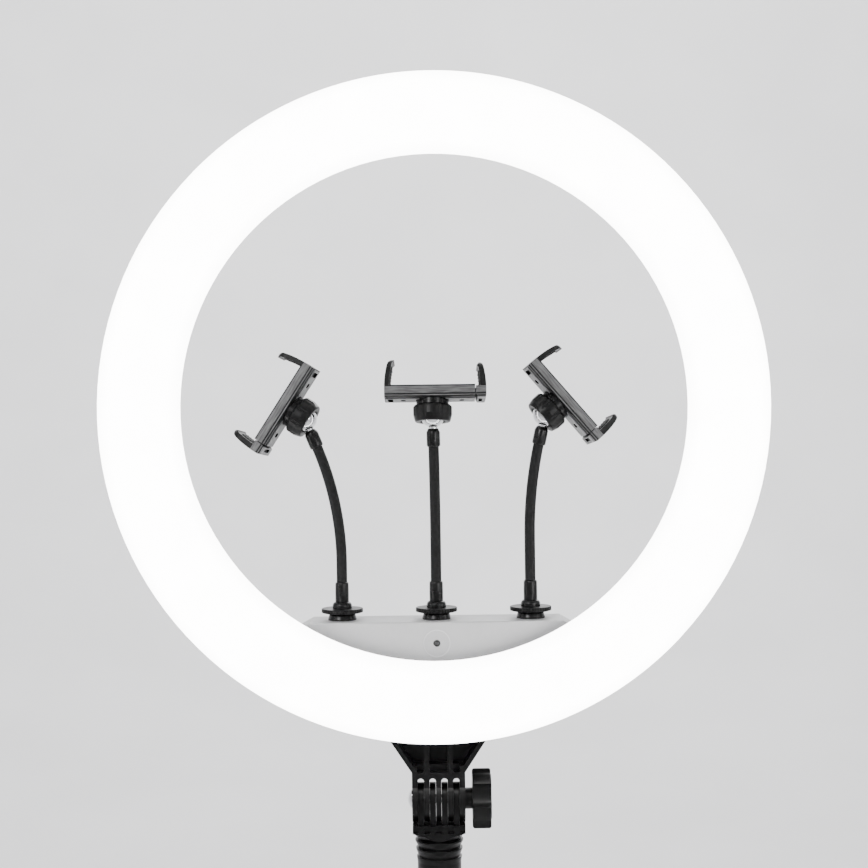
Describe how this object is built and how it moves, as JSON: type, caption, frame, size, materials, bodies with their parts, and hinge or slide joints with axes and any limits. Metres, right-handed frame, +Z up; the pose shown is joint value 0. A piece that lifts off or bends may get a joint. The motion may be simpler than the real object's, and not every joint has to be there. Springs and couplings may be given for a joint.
{
  "type": "ring light",
  "caption": "Large ring light with a rear control box, three sprung phone clamps on flexible necks and a tilting socket for a light stand.",
  "frame": {"origin": "centre of the mouth of the stand socket, at the part's lowest point on its axis", "axes": "+Z up along the stand, the light shines towards -Y, +X to the right as seen from the front"},
  "size_m": [0.4569, 0.0725, 0.591],
  "materials": {
    "opal": "opal, lit",
    "white_plastic": "fine texture",
    "board": "solder mask",
    "led_warm": "phosphor",
    "led_cool": "phosphor",
    "screw_steel": "zinc plated",
    "chrome": "polished",
    "smoked_lens": "polished",
    "control_board": "solder mask",
    "black_plastic": "satin",
    "button": "satin",
    "brass": "knurled",
    "rubber": "fine ribbed sleeve",
    "clamp_plastic": "satin",
    "spring_steel": "bright"
  },
  "bodies": {
    "stand_adapter": {"stand_adapter": "black_plastic", "adapter_insert": "brass"},
    "socket_knob": {"socket_knob": "black_plastic", "socket_screw": "screw_steel"},
    "ring_head": {"tilt_yoke": "black_plastic", "tilt_bolt": "chrome", "back_housing": "white_plastic", "diffuser": "opal", "led_boards": "board", "leds_warm": "led_warm", "leds_cool": "led_cool", "board_screws": "screw_steel", "mount_screws": "screw_steel", "control_box": "white_plastic", "box_cover": "white_plastic", "cover_screws": "screw_steel", "ir_window": "smoked_lens", "display_window": "smoked_lens", "control_board": "control_board", "dc_jack": "black_plastic", "usb_sockets": "screw_steel", "neck_foot_left": "black_plastic", "neck_lower_left": "rubber", "neck_foot_centre": "black_plastic", "neck_lower_centre": "rubber", "neck_foot_right": "black_plastic", "neck_lower_right": "rubber"},
    "tilt_knob": {"tilt_knob": "black_plastic", "tilt_knob_insert": "brass"},
    "power_button": {"power_button": "button"},
    "mode_button": {"mode_button": "button"},
    "plus_button": {"plus_button": "button"},
    "minus_button": {"minus_button": "button"},
    "lock_ring_left": {"lock_ring_left": "black_plastic"},
    "neck_middle_left": {"neck_middle_left": "rubber"},
    "neck_upper_left": {"neck_upper_left": "rubber"},
    "ball_stud_left": {"ball_stud_left": "chrome"},
    "ball_nut_left": {"ball_nut_left": "black_plastic"},
    "clamp_socket_left": {"clamp_socket_left": "black_plastic"},
    "clamp_body_left": {"clamp_body_left": "clamp_plastic", "clamp_spring_left": "spring_steel"},
    "clamp_jaw_left": {"clamp_jaw_left": "clamp_plastic"},
    "lock_ring_centre": {"lock_ring_centre": "black_plastic"},
    "neck_middle_centre": {"neck_middle_centre": "rubber"},
    "neck_upper_centre": {"neck_upper_centre": "rubber"},
    "ball_stud_centre": {"ball_stud_centre": "chrome"},
    "ball_nut_centre": {"ball_nut_centre": "black_plastic"},
    "clamp_socket_centre": {"clamp_socket_centre": "black_plastic"},
    "clamp_body_centre": {"clamp_body_centre": "clamp_plastic", "clamp_spring_centre": "spring_steel"},
    "clamp_jaw_centre": {"clamp_jaw_centre": "clamp_plastic"},
    "lock_ring_right": {"lock_ring_right": "black_plastic"},
    "neck_middle_right": {"neck_middle_right": "rubber"},
    "neck_upper_right": {"neck_upper_right": "rubber"},
    "ball_stud_right": {"ball_stud_right": "chrome"},
    "ball_nut_right": {"ball_nut_right": "black_plastic"},
    "clamp_socket_right": {"clamp_socket_right": "black_plastic"},
    "clamp_body_right": {"clamp_body_right": "clamp_plastic", "clamp_spring_right": "spring_steel"},
    "clamp_jaw_right": {"clamp_jaw_right": "clamp_plastic"}
  },
  "joints": [
    {"name": "tilt", "type": "hinge", "parent": "stand_adapter", "child": "ring_head", "pos_m": [0, 0, 0.09], "axis": [1, 0, 0], "range_deg": [-90, 90]},
    {"name": "tilt_knob_turn", "type": "hinge", "parent": "ring_head", "child": "tilt_knob", "pos_m": [0.03, 0, 0.09], "axis": [1, 0, 0], "continuous": true},
    {"name": "socket_knob_turn", "type": "hinge", "parent": "stand_adapter", "child": "socket_knob", "pos_m": [0, 0.02, 0.022], "axis": [0, 1, 0], "continuous": true},
    {"name": "power_press", "type": "slide", "parent": "ring_head", "child": "power_button", "axis": [0, -1, 0], "range_m": [0, 0.001], "stiffness_N_per_m": 400, "springref_m": -0.0006},
    {"name": "mode_press", "type": "slide", "parent": "ring_head", "child": "mode_button", "axis": [0, -1, 0], "range_m": [0, 0.001], "stiffness_N_per_m": 400, "springref_m": -0.0006},
    {"name": "plus_press", "type": "slide", "parent": "ring_head", "child": "plus_button", "axis": [0, -1, 0], "range_m": [0, 0.001], "stiffness_N_per_m": 400, "springref_m": -0.0006},
    {"name": "minus_press", "type": "slide", "parent": "ring_head", "child": "minus_button", "axis": [0, -1, 0], "range_m": [0, 0.001], "stiffness_N_per_m": 400, "springref_m": -0.0006},
    {"name": "lock_ring_turn_left", "type": "hinge", "parent": "ring_head", "child": "lock_ring_left", "pos_m": [-0.066, 0.007, 0.222], "axis": [0, 0, 1], "continuous": true},
    {"name": "neck_sway_left", "type": "hinge", "parent": "ring_head", "child": "neck_middle_left", "pos_m": [-0.066, 0.007, 0.2536], "axis": [0, 1, 0], "range_deg": [-11, 11]},
    {"name": "neck_nod_left", "type": "hinge", "parent": "neck_middle_left", "child": "neck_upper_left", "pos_m": [-0.07011, 0.007, 0.29533], "axis": [0.9808, 0, 0.1951], "range_deg": [-40, 40]},
    {"name": "ball_swivel_left", "type": "hinge", "parent": "neck_upper_left", "child": "ball_stud_left", "pos_m": [-0.09059, 0.007, 0.35551], "axis": [-0.3827, 0, 0.9239], "range_deg": [-120, 120]},
    {"name": "ball_tilt_left", "type": "hinge", "parent": "ball_stud_left", "child": "clamp_socket_left", "pos_m": [-0.09059, 0.007, 0.35551], "axis": [-0.2488, -0.9631, -0.1031], "range_deg": [-76.5, 5.5]},
    {"name": "clamp_spin_left", "type": "hinge", "parent": "clamp_socket_left", "child": "clamp_body_left", "pos_m": [-0.09059, 0.007, 0.35551], "axis": [-0.8283, 0.1564, 0.5379], "continuous": true},
    {"name": "ball_nut_turn_left", "type": "hinge", "parent": "clamp_socket_left", "child": "ball_nut_left", "pos_m": [-0.09059, 0.007, 0.35551], "axis": [-0.8283, 0.1564, 0.5379], "continuous": true},
    {"name": "jaw_slide_left", "type": "slide", "parent": "clamp_body_left", "child": "clamp_jaw_left", "axis": [-0.5446, 0, -0.8387], "range_m": [0, 0.024], "stiffness_N_per_m": 110, "springref_m": -0.02, "deforming": ["clamp_spring_left"]},
    {"name": "lock_ring_turn_centre", "type": "hinge", "parent": "ring_head", "child": "lock_ring_centre", "pos_m": [0, 0.007, 0.222], "axis": [0, 0, 1], "continuous": true},
    {"name": "neck_sway_centre", "type": "hinge", "parent": "ring_head", "child": "neck_middle_centre", "pos_m": [0, 0.007, 0.2638], "axis": [0, 1, 0], "range_deg": [-11, 11]},
    {"name": "neck_nod_centre", "type": "hinge", "parent": "neck_middle_centre", "child": "neck_upper_centre", "pos_m": [-0.00015, 0.007, 0.2994], "axis": [1, 0, 0.0087], "range_deg": [-40, 40]},
    {"name": "ball_swivel_centre", "type": "hinge", "parent": "neck_upper_centre", "child": "ball_stud_centre", "pos_m": [-0.001, 0.007, 0.35669], "axis": [-0.0175, 0, 0.9998], "range_deg": [-120, 120]},
    {"name": "ball_tilt_centre", "type": "hinge", "parent": "ball_stud_centre", "child": "clamp_socket_centre", "pos_m": [-0.001, 0.007, 0.35669], "axis": [-0.9938, 0.1095, -0.0173], "range_deg": [-50.1, 31.9]},
    {"name": "clamp_spin_centre", "type": "hinge", "parent": "clamp_socket_centre", "child": "clamp_body_centre", "pos_m": [-0.001, 0.007, 0.35669], "axis": [0, 0.1564, 0.9877], "continuous": true},
    {"name": "ball_nut_turn_centre", "type": "hinge", "parent": "clamp_socket_centre", "child": "ball_nut_centre", "pos_m": [-0.001, 0.007, 0.35669], "axis": [0, 0.1564, 0.9877], "continuous": true},
    {"name": "jaw_slide_centre", "type": "slide", "parent": "clamp_body_centre", "child": "clamp_jaw_centre", "axis": [1, 0, 0], "range_m": [0, 0.024], "stiffness_N_per_m": 110, "springref_m": -0.02, "deforming": ["clamp_spring_centre"]},
    {"name": "lock_ring_turn_right", "type": "hinge", "parent": "ring_head", "child": "lock_ring_right", "pos_m": [0.066, 0.007, 0.222], "axis": [0, 0, 1], "continuous": true},
    {"name": "neck_sway_right", "type": "hinge", "parent": "ring_head", "child": "neck_middle_right", "pos_m": [0.066, 0.007, 0.2722], "axis": [0, 1, 0], "range_deg": [-11, 11]},
    {"name": "neck_nod_right", "type": "hinge", "parent": "neck_middle_right", "child": "neck_upper_right", "pos_m": [0.06774, 0.007, 0.30414], "axis": [0.9941, 0, -0.1089], "range_deg": [-40, 40]},
    {"name": "ball_swivel_right", "type": "hinge", "parent": "neck_upper_right", "child": "ball_stud_right", "pos_m": [0.07765, 0.007, 0.35688], "axis": [0.2164, 0, 0.9763], "range_deg": [-120, 120]},
    {"name": "ball_tilt_right", "type": "hinge", "parent": "ball_stud_right", "child": "clamp_socket_right", "pos_m": [0.07765, 0.007, 0.35688], "axis": [-0.2496, 0.9668, 0.0553], "range_deg": [-60, 3.3]},
    {"name": "clamp_spin_right", "type": "hinge", "parent": "clamp_socket_right", "child": "clamp_body_right", "pos_m": [0.07765, 0.007, 0.35688], "axis": [0.7488, 0.1564, 0.6441], "continuous": true},
    {"name": "ball_nut_turn_right", "type": "hinge", "parent": "clamp_socket_right", "child": "ball_nut_right", "pos_m": [0.07765, 0.007, 0.35688], "axis": [0.7488, 0.1564, 0.6441], "continuous": true},
    {"name": "jaw_slide_right", "type": "slide", "parent": "clamp_body_right", "child": "clamp_jaw_right", "axis": [0.6521, 0, -0.7581], "range_m": [0, 0.024], "stiffness_N_per_m": 110, "springref_m": -0.02, "deforming": ["clamp_spring_right"]}
  ]
}
